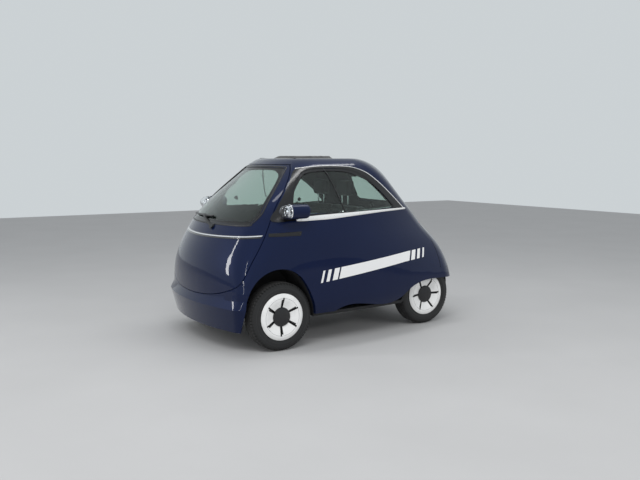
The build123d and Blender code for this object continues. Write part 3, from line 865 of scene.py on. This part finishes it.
def inset_loop(points, distance):
    """A closed loop moved inwards, further at its upper corners; the loop runs anticlockwise."""
    out, n = [], len(points)
    wide, top = max(p.x for p in points) * 0.64, max(p.y for p in points)
    for i, p in enumerate(points):
        run = (points[(i + 1) % n] - points[i - 1]).normalized()
        near = math.exp(-((abs(p.x) - wide) ** 2 + (p.y - top) ** 2) / 0.004)
        out.append(p + Vector((-run.y, run.x, 0)) * distance * (1.0 + 0.8 * near))
    return out


def rounded(loop, cut):
    """Each corner of a closed loop replaced by two points beside it."""
    out, n = [], len(loop)
    for i in range(n):
        p, a, b = Vector(loop[i]), Vector(loop[i - 1]), Vector(loop[(i + 1) % n])
        for other in (a, b):
            way = other - p
            out.append(tuple(p + way.normalized() * min(cut, way.length * 0.35)))
    return out


def screen_ring(name, loop, border, seal, skin, body):
    """Printed black border of a screen with its rubber edge."""
    outer = smooth_line(rounded(loop, 0.030), 200, True)
    points = skin.band(outer, inset_loop(outer, border), 6, lambda t: 0.0010 - 0.0004 * t)
    add_mesh(name + "_border", points, grid_faces(6, 200, False, True), "gloss_black", body, slot="black_trim")
    path, ups = skin.lay(outer, 0.0)
    points, faces = sweep(path, evened(ups, 4, True), half_round(seal, seal * 0.32), True)
    add_mesh(name + "_seal", points, faces, "black_trim", body)


def build_screens(trim):
    nose, tail = Skin("nose", "windscreen", "door_panel"), Skin("tail", "rear_glass", "hatch_panel")
    screen_ring("windscreen", SCREEN_EDGE, trim.screen_border, trim.seal, nose, "front_door")
    screen_ring("rear_screen", REAR_EDGE, trim.screen_border * 0.73, trim.seal, tail, "hatch")


# ---------------------------------------------------------------- lamps
BOWL = [(0.046, 0.002), (0.0455, 0.010), (0.042, 0.022), (0.035, 0.032), (0.025, 0.040), (0.012, 0.044),
        (0.0, 0.045)]
BEZEL = ((0.93, 0.0), (1.0, -0.0025), (1.055, 0.0), (1.055, 0.004), (0.93, 0.004))
INNER_RING = ((0.84, -0.012), (0.60, -0.018), (0.62, -0.024), (0.86, -0.016))
BULB = [(0.0, -0.026)] + [(0.017 * math.sin(a), -0.009 - 0.017 * math.cos(a))
                          for a in (math.radians(d) for d in range(12, 100, 11))] + [(0.017, 0.036)]


def build_lamps():
    low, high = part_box("headlamp_lenses")
    radius, z = (high.z - low.z) / 2, (low.z + high.z) / 2
    for side, sign in SIDES:
        x = high.x - radius if sign > 0 else low.x + radius
        centre = Vector((x, high.y, z))
        add_mesh(f"lamp_bowl_{side}", *turned(BOWL, centre, "Y", 28), "mirror", crease=5)
        add_mesh(f"lamp_bulb_{side}", *turned(BULB, centre, "Y", 40), "mirror", crease=60)
        bezel = [(radius * k, t) for k, t in BEZEL]
        add_mesh(f"lamp_bezel_{side}", *turned(bezel, centre, "Y", 72), "chrome", crease=50, slot="mirror")
        inner = [(radius * k, t) for k, t in INNER_RING]
        add_mesh(f"lamp_ring_{side}", *turned(inner, centre, "Y", 60), "chrome", crease=20, slot="mirror")


# ---------------------------------------------------------------- soft pieces
ROOF_Y = (-0.426, 0.050)
ROOF_HALF = (0.285, 0.300)
ROOF_SINK = 0.0060      # the fabric lies this much under its solid's top
BOWS = (0.16, 0.38, 0.60, 0.80)


def build_roof(trim):
    """Stretched fabric roof with soft bows, and a rubber edge round it."""
    skin = Skin("top", "soft_top", "roof_panel")
    rows, columns = 64, 60
    points = []
    for i in range(rows):
        v = i / (rows - 1)
        for j in range(columns):
            u = 2 * j / (columns - 1) - 1
            half = ROOF_HALF[0] + (ROOF_HALF[1] - ROOF_HALF[0]) * math.sin(math.pi * v) - 0.005
            x = u * half
            y = ROOF_Y[0] + (ROOF_Y[1] - ROOF_Y[0]) * v + 0.018 * (1 - u * u) * v
            place, _ = skin.touch(x, y)
            edge = min(1.0, (1 - abs(u)) * 9, v * 9, (1 - v) * 9)
            bows = sum(math.exp(-((v - at) / 0.030) ** 2) for at in BOWS)
            sag = 0.0030 * (1 - min(1.0, bows)) * edge
            wrinkle = 0.0008 * math.sin(46 * v + 3 * math.sin(5 * u)) * math.sin(9 * u + 1.3) * edge
            points.append(Vector((x, y, place.z - ROOF_SINK - sag + wrinkle)))
    sheet = add_mesh("roof_sheet", points, grid_faces(rows, columns), "roof_fabric")
    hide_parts("soft_top")

    roof = Skin("top", "roof_panel")
    path, ups = roof.lay(smooth_line(rounded(ROOF_EDGE, 0.03), 180, True), 0.0)
    points, faces = sweep(path, evened(ups, 4, True), half_round(trim.seal, 0.0035), True)
    add_mesh("roof_seal", points, faces, "black_trim")


def block(corners, half, middle):
    """A block from four (y, z) corners, drawn out to both sides of a middle plane at x."""
    bm = bmesh.new()
    ends = [[bm.verts.new((middle + side * half, y, z)) for y, z in corners] for side in (-1, 1)]
    bm.faces.new(ends[0])
    bm.faces.new(list(reversed(ends[1])))
    for i in range(4):
        k = (i + 1) % 4
        bm.faces.new((ends[0][k], ends[0][i], ends[1][i], ends[1][k]))
    bmesh.ops.recalc_face_normals(bm, faces=bm.faces)
    return bm


def blown_pad(name, corners, half, middle, round_edge, voxel, cap, seams, look):
    """A pad: rounded block, remeshed, blown up as cloth between its seams, each point's way capped."""
    bm = block(corners, half, middle)
    bmesh.ops.bevel(bm, geom=bm.edges, offset=round_edge, segments=6, profile=0.5, affect="EDGES")
    mesh = bpy.data.meshes.new(name)
    bm.to_mesh(mesh)
    bm.free()
    obj = bpy.data.objects.new(name + "_raw", mesh)
    bpy.context.scene.collection.objects.link(obj)
    remesh = obj.modifiers.new("remesh", "REMESH")
    remesh.mode = "VOXEL"
    remesh.voxel_size = voxel
    baked(obj)
    rest = [v.co.copy() for v in obj.data.vertices]
    nearness = [max((math.exp(-(seam(p) / voxel) ** 2) for seam in seams), default=0.0) for p in rest]
    held = obj.vertex_groups.new(name="held")
    for i, near in enumerate(nearness):
        held.add([i], min(1.0, near * 1.2), "REPLACE")
    cloth = obj.modifiers.new("cloth", "CLOTH")
    cloth.settings.quality = 5
    cloth.settings.use_pressure = True
    cloth.settings.uniform_pressure_force = look.pressure
    cloth.settings.effector_weights.gravity = 0.0
    cloth.settings.vertex_group_mass = "held"
    cloth.collision_settings.use_collision = False
    for step in range(1, 21):
        bpy.context.scene.frame_set(step)
    baked(obj)
    for v, start in zip(obj.data.vertices, rest):
        way = v.co - start
        if way.length > cap:
            v.co = start + way.normalized() * cap
    bpy.context.scene.frame_set(1)
    normals = [v.normal.copy() for v in obj.data.vertices]
    for v, normal, near in zip(obj.data.vertices, normals, nearness):
        v.co -= normal * SEAM_DEPTH * near
    smooth = obj.modifiers.new("smooth", "SUBSURF")
    smooth.levels = smooth.render_levels = 1
    baked(obj)
    mesh = obj.data
    bpy.data.objects.remove(obj)
    return mesh


def baked(obj):
    """Turns an object's modifiers into its plain mesh."""
    graph = bpy.context.evaluated_depsgraph_get()
    mesh = bpy.data.meshes.new_from_object(obj.evaluated_get(graph))
    obj.modifiers.clear()
    obj.data = mesh


def seam_threads(name, skin, lines, cord, stitch, look):
    """Piping and stitches that follow lines on a pad."""
    laid = [skin.lay(smooth_line(line, 90), 0.0012)[0] for line in lines]
    mesh = cord.made(line_mesh(name, laid), "seat_piping", Radius=0.0028)
    add_piece(name + "_piping", mesh, "seat_piping")
    beside = [skin.lay([p + Vector((0, 0.009, 0)) for p in smooth_line(line, 90)], 0.0006)[0] for line in lines]
    mesh = stitch.made(line_mesh(name, beside), "seat_thread", Length=look.stitch, Radius=0.0007)
    add_piece(name + "_stitches", mesh, "seat_thread")


CUSHION = ((-0.392, 0.478), (0.032, 0.478), (0.032, 0.572), (-0.392, 0.572))
BACK = ((0.056, 0.556), (0.122, 0.508), (0.178, 1.058), (0.106, 1.078))
HEADREST = ((0.099, 1.152), (0.165, 1.152), (0.165, 1.288), (0.099, 1.288))
ROLL_Y = -0.31          # seam behind the cushion's front roll
OUTER_X = 0.40          # seams beside the two places
CHANNEL_Z = 1.015       # seam across the back
FAR_OFF = 1.0           # distance given to points that a seam doesn't touch
SEAM_DEPTH = 0.006
HEADREST_X = 0.195
POST_X = 0.045
POST_Y = 0.132


def end_seam(middle, p):
    """Distance from the seams at a headrest's two ends."""
    return abs(abs(p.x - middle) - 0.092)


def build_seats(look):
    """Bench cushion, back and two headrests, blown up between their seams."""
    cord, stitch = round_cord_recipe(), stitch_recipe()

    def middle(p):
        return abs(p.x)

    def outer(p):
        return abs(abs(p.x) - OUTER_X)

    def roll(p):
        return abs(p.y - ROLL_Y) + (0.0 if p.z > 0.54 else FAR_OFF)

    def shoulder(p):
        return abs(p.z - CHANNEL_Z) + (0.0 if p.y < 0.125 else FAR_OFF)

    pads = (("seat_cushion", CUSHION, 0.486, 0.035, 0.013, 0.010, (middle, outer, roll), 0.8),
            ("seat_back", BACK, 0.486, 0.030, 0.013, 0.010, (middle, outer, shoulder), 0.75))
    for node, corners, half, edge, voxel, cap, seams, fill in pads:
        mesh = blown_pad(node, corners, half, 0.0, edge, voxel, cap, seams, look)
        piece = add_piece(node + "_pad", mesh, "seat_cover", crease=180)
        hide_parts(node)
    top = Skin("top", "seat_cushion_pad")
    runs = [[(x, -0.36), (x, -0.10), (x, 0.0)] for x in (-OUTER_X, 0.0, OUTER_X)]
    runs.append([(-0.45, ROLL_Y), (0.0, ROLL_Y), (0.45, ROLL_Y)])
    seam_threads("seat_cushion", top, runs, cord, stitch, look)
    nose = Skin("nose", "seat_back_pad")
    runs = [[(-0.45, CHANNEL_Z), (0.0, CHANNEL_Z), (0.45, CHANNEL_Z)]]
    runs += [[(x, 0.64), (x, 0.85), (x, 1.045)] for x in (-OUTER_X, 0.0, OUTER_X)]
    laid = [nose.lay(smooth_line(line, 90), 0.0012)[0] for line in runs]
    add_piece("seat_back_piping", cord.made(line_mesh("seat_back", laid), "seat_piping", Radius=0.0028),
              "seat_piping")

    posts = []
    for side, sign in SIDES:
        x = sign * HEADREST_X
        ends = (partial(end_seam, x),)
        mesh = blown_pad(f"headrest_{side}", HEADREST, 0.104, x, 0.024, 0.006, 0.006, ends, look)
        piece = add_piece(f"headrest_{side}_pad", mesh, "seat_cover", crease=180)
        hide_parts("headrests")
        posts += [[(x + dx, POST_Y, 1.05), (x + dx, POST_Y, 1.175)] for dx in (-POST_X, POST_X)]
    rods = cord.made(line_mesh("posts", posts), "chrome", Radius=0.006)
    add_piece("headrest_posts", rods, "chrome")


# ---------------------------------------------------------------- cabin
LATCHES = ((-0.522, 1.117), (0.129, 1.086))
LATCH = [(0.0, 0.002), (0.009, 0.002), (0.009, 0.010), (0.017, 0.013), (0.0185, 0.019), (0.016, 0.025),
         (0.0, 0.026)]


def build_cabin():
    """Round catches on the inside of the side windows."""
    skin = Skin("side", "side_glass_left")
    parts = []
    for y, z in LATCHES:
        spot = skin.touch(y, z)[0]
        inwards = [(r, -t - 0.004) for r, t in LATCH]
        parts.append(turned(inwards, Vector((spot.x, y, z)), "X", 32))
    both_sides("window_catches", *merged(parts), "black_trim")


# ---------------------------------------------------------------- stage
LIGHTS = (
    ("key", (4.2, -3.4, 5.2), (0, 0, 0.6), (5.0, 0.5), 160.0, False),
    ("front", (-2.5, -6.5, 3.0), (0, -0.8, 0.7), (0.35, 4.0), 90.0, True),
    ("streak", (3.6, -5.6, 2.6), (0, -0.8, 0.8), (0.10, 3.0), 26.0, True),
    ("top", (0.0, 0.4, 5.2), (0, 0, 0), (0.5, 5.0), 60.0, True),
    ("side", (6.5, 3.0, 3.0), (0, 0.4, 0.7), (4.0, 0.6), 105.0, False),
)
CAMERA_PLACE = Vector((5.6526, -3.5524, 1.4866))
CAMERA_YAW, CAMERA_PITCH, CAMERA_LENS = 57.865, 6.294, 42.38
AIR = (0.56, 0.58, 0.60)
BACKDROP = (0.60, 0.64, 0.66)


def build_stage():
    """Pale floor, plain sky, four soft lights and the camera."""
    mesh = bpy.data.meshes.new("floor")
    bm = bmesh.new()
    bmesh.ops.create_grid(bm, x_segments=8, y_segments=8, size=14)
    bm.to_mesh(mesh)
    bm.free()
    floor = bpy.data.objects.new("floor", mesh)
    bpy.context.scene.collection.objects.link(floor)
    mesh.materials.append(MATERIALS["floor"])

    world = bpy.data.worlds.new("studio")
    world.use_nodes = True
    tree = world.node_tree
    path = tree.nodes.new("ShaderNodeLightPath").outputs
    seen = Value(tree, path["Is Camera Ray"]) + Value(tree, path["Is Transmission Ray"])
    mix = tree.nodes.new("ShaderNodeMix")
    mix.data_type = "RGBA"
    tree.links.new((seen + Value(tree, path["Is Glossy Ray"])).clamped().socket, mix.inputs[0])
    mix.inputs[6].default_value = (*AIR, 1.0)
    mix.inputs[7].default_value = (*BACKDROP, 1.0)
    tree.links.new(mix.outputs[2], tree.nodes["Background"].inputs["Color"])
    bpy.context.scene.world = world

    for name, place, target, size, power, mirrors in LIGHTS:
        data = bpy.data.lights.new(name, "AREA")
        data.shape = "RECTANGLE"
        data.size, data.size_y = size
        data.energy = power
        lamp = bpy.data.objects.new(name, data)
        lamp.location = place
        lamp.visible_glossy = mirrors
        lamp.rotation_euler = (Vector(target) - Vector(place)).to_track_quat("-Z", "Y").to_euler()
        bpy.context.scene.collection.objects.link(lamp)

    data = bpy.data.cameras.new("camera")
    data.sensor_width = 36.0
    data.lens = CAMERA_LENS
    camera = bpy.data.objects.new("camera", data)
    camera.location = CAMERA_PLACE
    camera.rotation_euler = (math.radians(90 - CAMERA_PITCH), 0, math.radians(CAMERA_YAW))
    bpy.context.scene.collection.objects.link(camera)
    bpy.context.scene.camera = camera
    bpy.context.scene.view_settings.view_transform = "Standard"


# ---------------------------------------------------------------- add-on
def operator(key, label, text, make):
    """An operator class that runs one maker on the scene's settings."""

    def execute(self, context):
        make(context.scene)
        return {"FINISHED"}

    body = {"__doc__": text, "bl_idname": "microcar." + key, "bl_label": label, "bl_options": {"REGISTER"},
            "execute": execute}
    return type("MICROCAR_OT_" + key, (bpy.types.Operator,), body)


OPERATORS = (
    operator("nodes", "Materials", "Makes the materials and gives each packed piece its own",
             lambda s: (make_materials(s.microcar_paint, s.microcar_seats), finish_nodes())),
    operator("tyres", "Tyres", "Makes the four tyres with their tread", lambda s: build_tyres(s.microcar_trim)),
    operator("hub_caps", "Hub caps", "Makes the black caps in the wheel covers", lambda s: build_caps()),
    operator("window_trim", "Window trim", "Makes the chrome and black trim round the side windows",
             lambda s: build_window_trim(s.microcar_trim)),
    operator("stripes", "Side bands", "Lays the white bands on the sides",
             lambda s: build_stripes(s.microcar_trim)),
    operator("screens", "Screens", "Makes the borders and seals of both screens",
             lambda s: build_screens(s.microcar_trim)),
    operator("lamps", "Headlamps", "Makes the reflectors, bulbs and bezels of the headlamps",
             lambda s: build_lamps()),
    operator("roof", "Fabric roof", "Makes the stretched roof fabric and its seal",
             lambda s: build_roof(s.microcar_trim)),
    operator("seats", "Seats", "Makes the padded bench, its back and the headrests",
             lambda s: build_seats(s.microcar_seats)),
    operator("cabin", "Cabin", "Makes the catches of the side windows", lambda s: build_cabin()),
    operator("stage", "Stage", "Makes the floor, the sky, the lights and the camera", lambda s: build_stage()),
)


class MICROCAR_PT_looks(bpy.types.Panel):
    """Lists the settings and the steps of the microcar."""

    bl_label = "Microcar"
    bl_idname = "MICROCAR_PT_looks"
    bl_space_type = "VIEW_3D"
    bl_region_type = "UI"
    bl_category = "Microcar"

    def draw(self, context):
        for name in SETTINGS:
            group = getattr(context.scene, name)
            for key in group.__annotations__:
                self.layout.prop(group, key)
        for step in OPERATORS:
            self.layout.operator(step.bl_idname)


SETTINGS = {"microcar_paint": MICROCAR_PG_paint, "microcar_trim": MICROCAR_PG_trim,
            "microcar_seats": MICROCAR_PG_seats}
CLASSES = (*SETTINGS.values(), *OPERATORS, MICROCAR_PT_looks)


def register():
    for cls in CLASSES:
        bpy.utils.register_class(cls)
    for name, group in SETTINGS.items():
        setattr(bpy.types.Scene, name, bpy.props.PointerProperty(type=group))


def unregister():
    for name in SETTINGS:
        delattr(bpy.types.Scene, name)
    for cls in reversed(CLASSES):
        bpy.utils.unregister_class(cls)


def main():
    register()
    for step in OPERATORS:
        getattr(bpy.ops.microcar, step.bl_idname.split(".")[1])()


if __name__ == "__main__":
    main()
